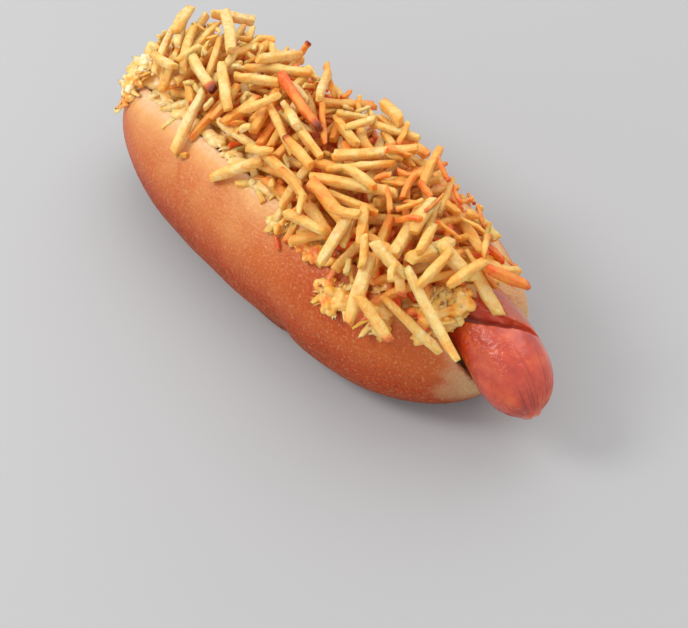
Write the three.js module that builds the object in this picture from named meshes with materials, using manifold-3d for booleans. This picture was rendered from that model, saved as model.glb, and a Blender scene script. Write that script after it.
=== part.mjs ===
// A hot dog: a soft split roll with a slit sausage in it, a creamy grated filling over the sausage,
// and a heap of fried potato sticks on top. Millimetres, +Z up, the roll's length along X.
// The sausage's shown tip points to +X, and the table is z = 0.
import * as THREE from "three";
import { mergeVertices } from "three/addons/utils/BufferGeometryUtils.js";
import Module from "manifold-3d";

const wasm = await Module();
wasm.setup();

// Driving sizes
const ROLL_BACK = -88;
const ROLL_FRONT = 85;
const ROLL_WIDTH = 70;
const ROLL_TOP = 47; // the crown of the loaf, as if it wasn't split
const ROLL_MIDDLE_HEIGHT = 21; // where the roll is widest
const SPLIT_NEAR = 14.5; // from the middle to the lip on the -Y side
const SPLIT_FAR = 22;
const SPLIT_SPREAD = 0.22; // how much wider the split gets at the front end
const SAUSAGE_RADIUS = 10.4;
const SAUSAGE_HEIGHT = 31; // its centre line inside the roll
const SAUSAGE_SHIFT = 2.5; // it lies a little to the far side
const SAUSAGE_BACK = -82;
const SAUSAGE_TIP = 101.3;
const BEND_START = 66; // from here the sausage's tip hangs down and swings to the near side
const TIP_DROP = 10.5;
const TIP_SWING = 9.1;
const SLIT_START = 46;
const SLIT_END = 92;
const SLIT_WIDTH = 8;
const SLIT_DEPTH = 9;
const SLIT_SHIFT = -4.8; // it starts left of the top's middle
const SLIT_TURN = 17.4; // how far it wanders to the far side, where it runs out before the tip
const FILLING_BACK = -87;
const FILLING_FRONT = 76;
const FILLING_TOP = 46;
const FILLING_HEIGHT = 18;
const HEAP_BACK = -80;
const HEAP_FRONT = 72;
const HEAP_TOP = 51.5;
const HEAP_HEIGHT = 19;
const STICK_LENGTH = [13, 25];
const STICK_THICK = [2.9, 3.8];
const GAP = 0.3; // between two pieces that touch
const STEEPEST = 0.55; // slope that a stick can lie at
const BITE = 1.2; // how deep a stick sinks into what it lies on, so that the heap is one body

const WIDTH_POWER = 2.5; // over 2, so the roll's section is a rounded square
const END_POWER = 3.1; // the roll keeps its width until near its ends
const TAPER_POWER = 2.2;
const HEIGHT_TAPER = 0.8; // the ends get lower more slowly than they get narrower

// Same draw of numbers from 0 to 1 for the same seed
function seeded(seed) {
  let state = seed;
  return () => {
    state = (state + 0x6d2b79f5) | 0;
    let t = Math.imul(state ^ (state >>> 15), 1 | state);
    t = (t + Math.imul(t ^ (t >>> 7), 61 | t)) ^ t;
    return ((t ^ (t >>> 14)) >>> 0) / 4294967296;
  };
}

const between = (random, [low, high]) => low + (high - low) * random();
const signedPower = (value, power) => Math.sign(value) * Math.abs(value) ** power;

// From a three.js geometry to a solid that can be joined and cut, and back
function solidOf(geometry) {
  const bare = geometry.clone();
  bare.deleteAttribute("normal");
  bare.deleteAttribute("uv");
  const merged = mergeVertices(bare, 1e-3);
  return new wasm.Manifold(
    new wasm.Mesh({
      numProp: 3,
      vertProperties: new Float32Array(merged.attributes.position.array),
      triVerts: new Uint32Array(merged.index.array),
    }),
  );
}

function geometryOf(solid) {
  const mesh = solid.getMesh();
  const geometry = new THREE.BufferGeometry();
  geometry.setAttribute("position", new THREE.BufferAttribute(mesh.vertProperties, 3));
  geometry.setIndex(new THREE.BufferAttribute(mesh.triVerts, 1));
  geometry.computeVertexNormals();
  return geometry;
}

// The largest body of a solid: loose scraps are dropped and sealed hollows are filled
function mainBody(solid) {
  const bodies = solid.decompose();
  return bodies.reduce((best, body) => (body.volume() > best.volume() ? body : best));
}

// A sphere with its poles on the X axis, each point moved by shape(angle from the +X pole, angle round X)
function shapedBall(around, along, shape) {
  const geometry = new THREE.SphereGeometry(1, around, along);
  const points = geometry.attributes.position;
  for (let i = 0; i < points.count; i++) {
    const polar = Math.acos(THREE.MathUtils.clamp(points.getY(i), -1, 1));
    const round = Math.atan2(points.getX(i), points.getZ(i));
    const [x, y, z] = shape(polar, round);
    points.setXYZ(i, x, y, z);
  }
  return geometry;
}

// Long loaf-like body: a rounded box section that narrows to both ends. near and far are its reach
// to -Y and +Y along its length, and uneven is what its skin stands out at a place
function loafPoint(loaf, polar, round, grow) {
  const share = signedPower(Math.cos(polar), 2 / loaf.endPower);
  const taper = Math.abs(Math.sin(polar)) ** (2 / TAPER_POWER);
  const x = (loaf.front + loaf.back) / 2 + share * ((loaf.front - loaf.back) / 2 + grow);
  const uneven = loaf.uneven(x, round);
  const swell = taper > 1e-3 ? grow : 0;
  const halfWidth = ((loaf.near(x) + loaf.far(x)) / 2 + uneven) * taper + swell;
  const halfHeight = (loaf.halfHeight + uneven * 0.4) * taper ** HEIGHT_TAPER + swell;
  const y = (loaf.far(x) - loaf.near(x)) / 2 + halfWidth * signedPower(Math.cos(round), 2 / WIDTH_POWER);
  const z = loaf.middle + halfHeight * signedPower(Math.sin(round), 2 / WIDTH_POWER);
  return [x, y, Math.max(z, loaf.floor)];
}

const loafSolid = (loaf, around, along, grow = 0) =>
  solidOf(shapedBall(around, along, (polar, round) => loafPoint(loaf, polar, round, grow)));

// Height of a loaf's upper side over a place, or -Infinity outside it
function loafTop(loaf, x, y) {
  const share = Math.abs(x - (loaf.front + loaf.back) / 2) / ((loaf.front - loaf.back) / 2);
  if (share >= 1) return -Infinity;
  const taper = (1 - share ** loaf.endPower) ** (1 / TAPER_POWER);
  const across = Math.abs(2 * y - loaf.far(x) + loaf.near(x)) / ((loaf.near(x) + loaf.far(x)) * taper);
  if (across >= 1) return -Infinity;
  const rise = (1 - across ** WIDTH_POWER) ** (1 / WIDTH_POWER);
  return loaf.middle + loaf.halfHeight * taper ** HEIGHT_TAPER * rise;
}

const step = (x, from, to) => THREE.MathUtils.smoothstep((x - from) / (to - from), 0, 1);

const ROLL = {
  back: ROLL_BACK,
  front: ROLL_FRONT,
  near: (x) => ROLL_WIDTH / 2 - 0.6 - 0.9 * Math.exp(-(((x - 24) / 9) ** 2)) - 3 * step(x, 52, 84),
  far: () => ROLL_WIDTH / 2,
  halfHeight: ROLL_TOP - ROLL_MIDDLE_HEIGHT,
  middle: ROLL_MIDDLE_HEIGHT,
  floor: 0,
  endPower: END_POWER,
  uneven: () => 0,
};

// The filling spills over the near lip towards the front, and over it again at the back end
const FILLING = {
  back: FILLING_BACK,
  front: FILLING_FRONT,
  near: (x) => 13 + 11 * step(x, -6, 14) + 9 * step(x, -64, -74),
  far: () => 25,
  halfHeight: FILLING_HEIGHT / 2,
  middle: FILLING_TOP - FILLING_HEIGHT / 2,
  floor: -Infinity,
  endPower: 4,
  uneven: (x, round) => 1.2 * Math.sin(x * 0.31 + 2 * round) + 0.8 * Math.sin(x * 0.73 - 3 * round),
};

const HEAP = {
  back: HEAP_BACK,
  front: HEAP_FRONT,
  near: (x) => 14.5 + 7 * step(x, -8, 12) + 3 * step(x, 38, 50),
  far: () => 27,
  halfHeight: HEAP_HEIGHT / 2,
  middle: HEAP_TOP - HEAP_HEIGHT / 2,
  floor: -Infinity,
  endPower: 3.6,
  uneven: (x, round) => 0.8 * Math.sin(x * 0.23 + 3 * round + 1) + 0.5 * Math.sin(x * 0.51 - 2 * round),
};

// Sausage: its centre at a place along the roll, and its radius at a share of its length
function sausageCentre(x) {
  const bend = Math.max(0, (x - BEND_START) / (SAUSAGE_TIP - BEND_START));
  const y = SAUSAGE_SHIFT + 0.02 * x - TIP_SWING * bend ** 1.55;
  return new THREE.Vector3(x, y, SAUSAGE_HEIGHT - TIP_DROP * bend ** 2.6);
}

function sausageRadius(share) {
  const body = SAUSAGE_RADIUS + 0.5 * Math.exp(-(((share - 0.92) / 0.05) ** 2));
  const backEnd = Math.min(1, share / 0.07);
  const frontEnd = Math.min(1, (1 - share) / 0.06);
  return body * Math.sqrt(1 - (1 - backEnd) ** 2) * Math.sqrt(1 - (1 - frontEnd) ** 2.1);
}

// Point of the sausage's skin at a share of its length and an angle round it, 90 degrees being up
function sausagePoint(share, round, grow) {
  const x = SAUSAGE_BACK + share * (SAUSAGE_TIP - SAUSAGE_BACK);
  const centre = sausageCentre(x);
  const tangent = sausageCentre(x + 0.5).sub(sausageCentre(x - 0.5)).normalize();
  const side = new THREE.Vector3(-tangent.y, tangent.x, 0).normalize();
  const up = new THREE.Vector3().crossVectors(tangent, side);
  const radius = sausageRadius(share) + (share > 0 && share < 1 ? grow : 0);
  return centre
    .addScaledVector(side, radius * Math.cos(round))
    .addScaledVector(up, radius * Math.sin(round))
    .toArray();
}

const sausageSolid = (grow = 0) =>
  solidOf(shapedBall(20, 30, (polar, round) => sausagePoint((1 + Math.cos(polar)) / 2, round, grow)));

// The knife's slit along the sausage's top: a wedge that wanders to the far side
function slitSolid() {
  const wedge = new THREE.Shape([
    new THREE.Vector2(0, 0),
    new THREE.Vector2(0.5, 1),
    new THREE.Vector2(-0.5, 1),
  ]);
  const geometry = new THREE.ExtrudeGeometry(wedge, { depth: 1, steps: 12, bevelEnabled: false });
  const points = geometry.attributes.position;
  for (let i = 0; i < points.count; i++) {
    const along = points.getZ(i);
    const open = 1 - 0.35 * along ** 3;
    const x = SLIT_START + along * (SLIT_END - SLIT_START);
    const rim = sausageCentre(x).z + SAUSAGE_RADIUS + 1;
    const y = SLIT_SHIFT + SLIT_TURN * along ** 4 + points.getX(i) * SLIT_WIDTH * open;
    points.setXYZ(i, x, y, points.getY(i) > 0 ? rim + 3 : rim - SLIT_DEPTH - 1);
  }
  return solidOf(geometry);
}

// The split in the roll: a round bed for the sausage with walls that spread to the lips
function splitShape(grow) {
  const bed = SAUSAGE_RADIUS + GAP + 0.7 - grow;
  const lip = ROLL_TOP - 5;
  const bend = SAUSAGE_HEIGHT + 6;
  const shape = new THREE.Shape();
  shape.moveTo(SPLIT_FAR + 8 - grow, ROLL_TOP + 20);
  shape.lineTo(grow - SPLIT_NEAR - 8, ROLL_TOP + 20);
  shape.lineTo(grow - SPLIT_NEAR, lip);
  shape.quadraticCurveTo(SAUSAGE_SHIFT - bed - 1, bend, SAUSAGE_SHIFT - bed, SAUSAGE_HEIGHT);
  shape.absarc(SAUSAGE_SHIFT, SAUSAGE_HEIGHT, bed, Math.PI, 2 * Math.PI, false);
  shape.quadraticCurveTo(SAUSAGE_SHIFT + bed + 1, bend, SPLIT_FAR - grow, lip);
  return shape;
}

function splitSolid(grow = 0) {
  const stations = [2 * ROLL_BACK, 52, 62, 72, 80, 2 * ROLL_FRONT];
  const steps = stations.length - 1;
  const geometry = new THREE.ExtrudeGeometry(splitShape(grow), {
    depth: steps,
    steps,
    bevelEnabled: false,
    curveSegments: 6,
  });
  const points = geometry.attributes.position;
  for (let i = 0; i < points.count; i++) {
    const x = stations[Math.round(points.getZ(i))];
    const spread = 1 + SPLIT_SPREAD * step(x, stations[1], ROLL_FRONT);
    const y = SAUSAGE_SHIFT + (points.getX(i) - SAUSAGE_SHIFT) * spread;
    points.setXYZ(i, x, y, points.getY(i));
  }
  return solidOf(geometry);
}

const rollSolid = (grow = 0) => loafSolid(ROLL, 28, 34, grow).subtract(splitSolid(grow));

const beddedRoll = () => mainBody(rollSolid().subtract(sausageSolid(GAP)).simplify(0.04));

// Height field of what the sticks lie on
const CELL = 0.5;
const FIELD_X = 110;
const FIELD_Y = 50;
const FIELD_COLUMNS = Math.round((2 * FIELD_X) / CELL);
const FIELD_ROWS = Math.round((2 * FIELD_Y) / CELL);

function sausageTop(x, y) {
  const share = (x - SAUSAGE_BACK) / (SAUSAGE_TIP - SAUSAGE_BACK);
  if (share <= 0 || share >= 1) return -Infinity;
  const centre = sausageCentre(x);
  const radius = sausageRadius(share);
  const across = Math.abs(y - centre.y) / radius;
  return across < 1 ? centre.z + radius * Math.sqrt(1 - across * across) : -Infinity;
}

function supportTop(x, y) {
  const roll = y < -SPLIT_NEAR || y > SPLIT_FAR ? loafTop(ROLL, x, y) : 0;
  return Math.max(0, roll, loafTop(FILLING, x, y), sausageTop(x, y), loafTop(HEAP, x, y)) + GAP;
}

function newField() {
  const heights = new Float64Array(FIELD_COLUMNS * FIELD_ROWS);
  for (let row = 0; row < FIELD_ROWS; row++) {
    for (let column = 0; column < FIELD_COLUMNS; column++) {
      const x = (column + 0.5) * CELL - FIELD_X;
      const y = (row + 0.5) * CELL - FIELD_Y;
      heights[row * FIELD_COLUMNS + column] = supportTop(x, y);
    }
  }
  return heights;
}

function cellAt(x, y) {
  const column = THREE.MathUtils.clamp(Math.floor((x + FIELD_X) / CELL), 0, FIELD_COLUMNS - 1);
  const row = THREE.MathUtils.clamp(Math.floor((y + FIELD_Y) / CELL), 0, FIELD_ROWS - 1);
  return row * FIELD_COLUMNS + column;
}

// Heights under a stick, from one of its ends to the other
function heightsUnder(field, stick) {
  const steps = Math.ceil(stick.length / 2 / CELL);
  const [cos, sin] = [Math.cos(stick.yaw), Math.sin(stick.yaw)];
  const heights = [];
  for (let i = -steps; i <= steps; i++) {
    const s = (i / steps) * (stick.length / 2);
    let high = -Infinity;
    for (const w of [-0.4 * stick.thick, 0, 0.4 * stick.thick]) {
      high = Math.max(high, field[cellAt(stick.x + s * cos - w * sin, stick.y + s * sin + w * cos)]);
    }
    heights.push([s, high]);
  }
  return heights;
}

// The straight line that a stick rests on: it lies on a point to each side of its middle
function restLine(field, stick) {
  const heights = heightsUnder(field, stick);
  let best = { middle: -Infinity, slope: 0 };
  for (const [s0, h0] of heights.filter(([s]) => s < 0)) {
    for (const [s1, h1] of heights.filter(([s]) => s > 0)) {
      const slope = (h1 - h0) / (s1 - s0);
      const middle = h0 - slope * s0;
      if (middle > best.middle) best = { middle, slope };
    }
  }
  const slope = THREE.MathUtils.clamp(best.slope, -STEEPEST, STEEPEST);
  const middle = Math.max(...heights.map(([s, h]) => h - slope * s));
  return { middle, slope, steep: slope !== best.slope };
}

// Lowers a stick onto the field, tilted as it balances, and raises the field to its top
function layStick(field, stick) {
  const line = restLine(field, stick);
  const placed = { ...stick, z: line.middle - BITE + stick.thick / 2, pitch: Math.atan(line.slope) };
  const [cos, sin] = [Math.cos(stick.yaw), Math.sin(stick.yaw)];
  const reach = (stick.length / 2) * Math.cos(placed.pitch);
  for (let s = -reach; s <= reach; s += CELL / 2) {
    for (let w = -stick.thick / 2; w <= stick.thick / 2; w += CELL / 2) {
      const cell = cellAt(stick.x + s * cos - w * sin, stick.y + s * sin + w * cos);
      field[cell] = Math.max(field[cell], placed.z + s * line.slope + stick.thick / 2);
    }
  }
  return placed;
}

// Sticks that can be told apart in the heap: middle x and y, turn in degrees, and length
const SHOWN_STICKS = [
  [-36, -17, 107, 22],
  [-45, -4, -14, 21],
  [-32, -4, -32, 19],
  [-53, 13, -31, 28],
  [-27, 5, 29, 16],
  [-31, 17, 91, 19],
  [-9, -19, 38, 20],
  [-9, 17, -44, 28],
  [1, 0, -16, 29],
  [-8, 7, -13, 26],
  [10, 10, -17, 16],
  [8, -7, -10, 16],
  [24, 9, 57, 25],
  [29, -4, 27, 27],
  [29, -13, -6, 18],
  [27, -17, -7, 16],
  [28, -21, 11, 14],
  [39, -19, 99, 17],
  [42, -12, 132, 13],
  [40, 16, 116, 16],
  [19, 21, 23, 16],
  [13, 25, -20, 16],
  [54, -24, 116, 20],
  [63, -27, -4, 15],
  [52, -4, 112, 20],
  [53, 1, 110, 13],
  [57, -15, 6, 13],
  [69, -19, 10, 22],
  [74, -16, -11, 28],
  [62, -5, 87, 15],
  [69, -2, 5, 13],
  [74, 4, -11, 17],
  [74, -3, 87, 13],
  [73, 11, 65, 12],
  [77.2, 9.6, 41, 13],
  [-67, 24, 67, 16],
  [-70, 7, 122, 14],
  [-59, -9, -2, 15],
];

const SCATTERED = 93;
const TRIES = 14;
const SEED = 23;

// Sticks scattered evenly over the heap: of a few random places, the one where the heap is lowest
function scatterSticks(field, random) {
  const sticks = [];
  while (sticks.length < SCATTERED) {
    let best = null;
    for (let i = 0; i < TRIES; i++) {
      const x = between(random, [HEAP_BACK + 6, HEAP_FRONT + 2]);
      const stick = {
        x,
        y: between(random, [1 - HEAP.near(x), HEAP.far(x) - 1]),
        yaw: Math.PI * random(),
        length: between(random, STICK_LENGTH),
        thick: between(random, STICK_THICK),
        bend: 1.6 * (random() - 0.5),
      };
      const line = restLine(field, stick);
      const lift = line.middle - supportTop(stick.x, stick.y) + 0.25 * Math.abs(line.slope) * stick.length;
      const rests = !line.steep && line.middle > HEAP_TOP - HEAP_HEIGHT / 2 - 3;
      if (rests && (!best || lift < best.lift)) best = { stick, lift };
    }
    if (best) sticks.push(layStick(field, best.stick));
  }
  return sticks;
}

function shownSticks(field, random) {
  return SHOWN_STICKS.map(([x, y, turn, length]) =>
    layStick(field, {
      x,
      y,
      yaw: THREE.MathUtils.degToRad(turn),
      length,
      thick: between(random, STICK_THICK),
      bend: 1.2 * (random() - 0.5),
    }),
  );
}

// One fried stick: square, slightly bent, its ends a little narrower
function stickSolid(stick) {
  const parts = stick.length > 16 ? 2 : 1;
  const geometry = new THREE.BoxGeometry(stick.length, stick.thick, stick.thick, parts, 1, 1);
  const points = geometry.attributes.position;
  for (let i = 0; i < points.count; i++) {
    const along = (2 * points.getX(i)) / stick.length;
    const narrow = 1 - 0.15 * along * along;
    points.setY(i, points.getY(i) * narrow + stick.bend * (1 - along * along));
    points.setZ(i, points.getZ(i) * narrow);
  }
  geometry.rotateY(-stick.pitch).rotateZ(stick.yaw).translate(stick.x, stick.y, stick.z);
  return solidOf(geometry);
}

function heapSolid() {
  const random = seeded(SEED);
  const field = newField();
  const sticks = [...scatterSticks(field, random), ...shownSticks(field, random)];
  const core = loafSolid(HEAP, 20, 26);
  const whole = wasm.Manifold.union([core, ...sticks.map(stickSolid)]);
  const clear = whole
    .subtract(rollSolid(GAP))
    .subtract(loafSolid(FILLING, 18, 28, GAP))
    .subtract(sausageSolid(GAP));
  return mainBody(clear.simplify(0.08));
}

function fillingSolid() {
  const band = loafSolid(FILLING, 18, 28);
  return mainBody(band.subtract(rollSolid(GAP)).subtract(sausageSolid(GAP)).simplify(0.1));
}

// Materials, as a plain colour each
const food = (name, color, roughness) =>
  new THREE.MeshStandardMaterial({ name, color, roughness, metalness: 0 });

const CRUST = food("crust", "#d08a52", 0.5);
const SKIN = food("sausage", "#c23b2c", 0.35);
const CREAM = food("filling", "#f3c766", 0.4);
const POTATO = food("potato", "#ebbb63", 0.6);

function named(name, solid, material) {
  const mesh = new THREE.Mesh(geometryOf(solid), material);
  mesh.name = name;
  return mesh;
}

const hotDog = new THREE.Group();
hotDog.add(named("roll", beddedRoll(), CRUST));
hotDog.add(named("sausage", mainBody(sausageSolid().subtract(slitSolid())), SKIN));
hotDog.add(named("filling", fillingSolid(), CREAM));
hotDog.add(named("potato_sticks", heapSolid(), POTATO));

// The part's origin is the middle of the underside of its box
const box = new THREE.Box3().setFromObject(hotDog, true);
const middle = box.getCenter(new THREE.Vector3());
hotDog.position.set(-middle.x, -middle.y, -box.min.z);

export default hotDog;
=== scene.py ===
import math
from functools import partial

import bpy
import numpy as np
from mathutils import Matrix, Vector, noise


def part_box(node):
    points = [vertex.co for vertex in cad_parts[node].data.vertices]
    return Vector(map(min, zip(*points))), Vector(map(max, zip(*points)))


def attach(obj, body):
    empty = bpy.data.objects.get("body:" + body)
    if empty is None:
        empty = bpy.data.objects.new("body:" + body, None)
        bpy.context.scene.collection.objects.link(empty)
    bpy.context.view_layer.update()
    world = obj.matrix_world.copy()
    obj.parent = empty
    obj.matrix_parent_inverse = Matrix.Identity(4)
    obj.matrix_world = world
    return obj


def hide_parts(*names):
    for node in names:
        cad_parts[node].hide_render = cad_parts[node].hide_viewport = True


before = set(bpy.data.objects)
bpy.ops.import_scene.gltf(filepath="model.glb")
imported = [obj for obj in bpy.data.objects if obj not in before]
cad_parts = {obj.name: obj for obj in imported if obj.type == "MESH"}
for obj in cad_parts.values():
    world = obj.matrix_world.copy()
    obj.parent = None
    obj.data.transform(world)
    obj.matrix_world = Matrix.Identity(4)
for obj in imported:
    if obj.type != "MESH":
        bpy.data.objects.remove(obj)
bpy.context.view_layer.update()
# mathutils draws the offsets of its vector noise from the time of day unless it has a seed
noise.seed_set(1)

MM = 0.001
ROLL_BACK, ROLL_FRONT = -88, 85
ROLL_FAR = 35
SPLIT_NEAR, SPLIT_FAR = 14.5, 22
SAUSAGE_RADIUS = 10.4
SAUSAGE_BACK, SAUSAGE_TIP = -82, 101.3
SLIT_START, SLIT_END, SLIT_WIDTH = 46, 92, 8
SLIT_SHIFT, SLIT_TURN = -4.8, 17.4
GAP = 0.3
ROLL_VOXEL, SAUSAGE_VOXEL, FILLING_VOXEL, LUMP_VOXEL, CORE_VOXEL = 0.95, 0.5, 0.8, 0.4, 0.9
MERGED_WITHIN = 0.002
FINE_TIP = 78
TIP_FOLDS = 46
LOWEST_FILLING = 30
WIDTH_POWER = 2.5
TAPER_POWER = 2.2
HEIGHT_TAPER = 0.8

# From the maker's frame to the row frame: the roll's middle, its far side and the table
roll_low, roll_high = (Vector(corner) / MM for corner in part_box("roll"))
SHIFT = Vector(
    (
        (roll_low.x + roll_high.x - ROLL_BACK - ROLL_FRONT) / 2,
        roll_high.y - ROLL_FAR,
        roll_low.z,
    )
)


# Numbers ----------------
def seeded(seed):
    """The same draw of numbers from 0 to 1 as the part's own source makes."""
    state = seed

    def imul(a, b):
        return (a * b) & 0xFFFFFFFF

    def draw():
        nonlocal state
        state = (state + 0x6D2B79F5) & 0xFFFFFFFF
        t = imul(state ^ (state >> 15), 1 | state)
        t = ((t + imul(t ^ (t >> 7), 61 | t)) & 0xFFFFFFFF) ^ t
        return (t ^ (t >> 14)) / 4294967296

    return draw


def between(random, low, high):
    return low + (high - low) * random()


def step(x, start, end):
    """0 before start, 1 after end, and smooth between."""
    t = np.clip((np.asarray(x, float) - start) / (end - start), 0, 1)
    return t * t * (3 - 2 * t)


def hump(x, middle, width):
    return np.exp(-(((np.asarray(x, float) - middle) / width) ** 2))


def lumps(points, size, seed=0.0, octaves=1):
    """Smooth noise from -1 to 1 at each point, with lumps of about that size in mm."""
    made = np.zeros(len(points))
    weight = 1.0
    for octave in range(octaves):
        shift = Vector((seed * 7.3 + octave * 19.1, seed * 3.1, seed * 5.7))
        scale = 2**octave / size
        made += weight * np.array([noise.noise(Vector(p) * scale + shift) for p in points])
        weight *= 0.5
    return made


# The forms that the CAD solids have, in mm ----------------
class Loaf:
    """A long rounded-box body that narrows to both ends."""

    def __init__(self, back, front, near, far, half_height, middle, end_power):
        self.back, self.front, self.near, self.far = back, front, near, far
        self.half_height, self.middle, self.end_power = half_height, middle, end_power

    def taper(self, x):
        share = np.abs(x - (self.front + self.back) / 2) / ((self.front - self.back) / 2)
        return np.clip(1 - np.minimum(share, 1) ** self.end_power, 0, 1) ** (1 / TAPER_POWER)

    def top(self, x, y):
        """Height of its upper side over a place, or minus infinity outside it."""
        x, y = np.asarray(x, float), np.asarray(y, float)
        taper = self.taper(x)
        width = (self.near(x) + self.far) * np.maximum(taper, 1e-9)
        across = np.abs(2 * y - self.far + self.near(x)) / width
        rise = np.clip(1 - across**WIDTH_POWER, 0, 1) ** (1 / WIDTH_POWER)
        height = self.middle + self.half_height * taper**HEIGHT_TAPER * rise
        return np.where((across < 1) & (taper > 0), height, -np.inf)

    def level(self, points):
        """1 on its skin, less inside, more outside."""
        x, y, z = points.T
        taper = np.maximum(self.taper(x), 1e-6)
        across = np.abs(2 * y - self.far + self.near(x)) / ((self.near(x) + self.far) * taper)
        high = np.abs(z - self.middle) / (self.half_height * taper**HEIGHT_TAPER)
        return (across**WIDTH_POWER + high**WIDTH_POWER) ** (1 / WIDTH_POWER)


ROLL = Loaf(
    back=ROLL_BACK,
    front=ROLL_FRONT,
    near=lambda x: 34.4 - 0.9 * hump(x, 24, 9) - 3 * step(x, 52, 84),
    far=ROLL_FAR,
    half_height=26,
    middle=21,
    end_power=3.1,
)
FILLING = Loaf(
    back=-87,
    front=76,
    near=lambda x: 13 + 11 * step(x, -6, 14) + 9 * step(-np.asarray(x, float), 64, 74),
    far=25,
    half_height=9,
    middle=37,
    end_power=4,
)
HEAP = Loaf(
    back=-80,
    front=72,
    near=lambda x: 14.5 + 7 * step(x, -8, 12) + 3 * step(x, 38, 50),
    far=27,
    half_height=9.5,
    middle=42,
    end_power=3.6,
)


def sausage_centre(x):
    """The middle of its section: it lies straight and level, then its tip bends near and down."""
    bend = np.maximum(0, (np.asarray(x, float) - 66) / (SAUSAGE_TIP - 66))
    y = 2.5 + 0.02 * x - 9.1 * bend**1.55
    return y, 31 - 10.5 * bend**2.6


def sausage_radius(share):
    share = np.clip(share, 0, 1)
    body = SAUSAGE_RADIUS + 0.5 * hump(share, 0.92, 0.05)
    back_end = np.sqrt(1 - (1 - np.minimum(1, share / 0.07)) ** 2)
    front_end = np.sqrt(1 - (1 - np.minimum(1, (1 - share) / 0.06)) ** 2.1)
    return body * back_end * front_end


def sausage_top(x, y):
    share = (np.asarray(x, float) - SAUSAGE_BACK) / (SAUSAGE_TIP - SAUSAGE_BACK)
    centre_y, centre_z = sausage_centre(x)
    radius = np.maximum(sausage_radius(share), 1e-9)
    across = np.abs(y - centre_y) / radius
    height = centre_z + radius * np.sqrt(np.clip(1 - across**2, 0, 1))
    return np.where((share > 0) & (share < 1) & (across < 1), height, -np.inf)


# How sticks come to rest on each other ----------------
CELL = 0.5
FIELD_X, FIELD_Y = 110, 50
COLUMNS, ROWS = int(2 * FIELD_X / CELL), int(2 * FIELD_Y / CELL)
STEEPEST = 0.55
BITE = 1.2
FRY_LENGTH, FRY_THICKNESS = (13, 25), (2.9, 3.8)
SHAKEN_STICKS, SHAKEN_TRIES, SHAKEN_LOWEST = 93, 14, 39
FILLING_TRIES, FILLING_LOWEST = 16, 36


def support_top(x, y, heap_drop=0.0):
    """Height of what carries the sticks. With a drop, the heap's body lies that much lower."""
    x, y = np.asarray(x, float), np.asarray(y, float)
    roll = np.where((y < -SPLIT_NEAR) | (y > SPLIT_FAR), ROLL.top(x, y), 0)
    inner = np.maximum(FILLING.top(x, y), sausage_top(x, y))
    return np.maximum(np.maximum(0, roll), np.maximum(inner, HEAP.top(x, y) - heap_drop)) + GAP


def new_field(heap_drop=0.0):
    x = (np.arange(COLUMNS) + 0.5) * CELL - FIELD_X
    y = (np.arange(ROWS) + 0.5) * CELL - FIELD_Y
    return support_top(x[None, :], y[:, None], heap_drop).ravel()


def cell_at(x, y):
    column = np.clip(np.floor((x + FIELD_X) / CELL), 0, COLUMNS - 1)
    row = np.clip(np.floor((y + FIELD_Y) / CELL), 0, ROWS - 1)
    return (row * COLUMNS + column).astype(int)


def rest_line(field, stick, steepest=STEEPEST):
    """The straight line that a stick rests on: it lies on a point to each side of its middle."""
    half, thick = stick["length"] / 2, stick["thick"]
    steps = math.ceil(half / CELL)
    s = np.arange(-steps, steps + 1) / steps * half
    cos, sin = math.cos(stick["yaw"]), math.sin(stick["yaw"])
    heights = np.full(len(s), -np.inf)
    for w in (-0.4 * thick, 0, 0.4 * thick):
        cells = cell_at(stick["x"] + s * cos - w * sin, stick["y"] + s * sin + w * cos)
        heights = np.maximum(heights, field[cells])
    s0, h0, s1, h1 = s[:steps, None], heights[:steps, None], s[steps + 1 :], heights[steps + 1 :]
    slopes = (h1 - h0) / (s1 - s0)
    middles = h0 - slopes * s0
    best = slopes.ravel()[np.argmax(middles)]
    slope = min(max(best, -steepest), steepest)
    return {"middle": np.max(heights - slope * s), "slope": slope, "steep": slope != best}


def lay(field, stick, bite=BITE, steepest=STEEPEST):
    """Lowers a stick onto the field, tilted as it balances, and raises the field to its top."""
    line = rest_line(field, stick, steepest)
    z = line["middle"] - bite + stick["thick"] / 2
    pitch = math.atan(line["slope"])
    reach, thick = stick["length"] / 2 * math.cos(pitch), stick["thick"]
    cos, sin = math.cos(stick["yaw"]), math.sin(stick["yaw"])
    s = np.arange(-reach, reach + 1e-12, CELL / 2)[:, None]
    w = np.arange(-thick / 2, thick / 2 + 1e-12, CELL / 2)[None, :]
    cells = cell_at(stick["x"] + s * cos - w * sin, stick["y"] + s * sin + w * cos)
    tops = np.broadcast_to(z + s * line["slope"] + thick / 2, cells.shape)
    np.maximum.at(field, cells.ravel(), tops.ravel())
    return {**stick, "z": z, "pitch": pitch}


def shaken_sticks(field, random):
    """The sticks scattered evenly over the heap, where the CAD node has them."""
    sticks = []
    while len(sticks) < SHAKEN_STICKS:
        best, best_lift = None, math.inf
        for _ in range(SHAKEN_TRIES):
            x = between(random, -74, 74)
            stick = dict(x=x, y=between(random, 1 - float(HEAP.near(x)), 26))
            stick.update(yaw=math.pi * random(), length=between(random, *FRY_LENGTH))
            stick.update(thick=between(random, *FRY_THICKNESS), bend=1.6 * (random() - 0.5))
            line = rest_line(field, stick)
            lean = 0.25 * abs(line["slope"]) * stick["length"]
            lift = line["middle"] - float(support_top(stick["x"], stick["y"])) + lean
            if not line["steep"] and line["middle"] > SHAKEN_LOWEST and lift < best_lift:
                best, best_lift = stick, lift
        if best:
            sticks.append(lay(field, best))
    return sticks


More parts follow.
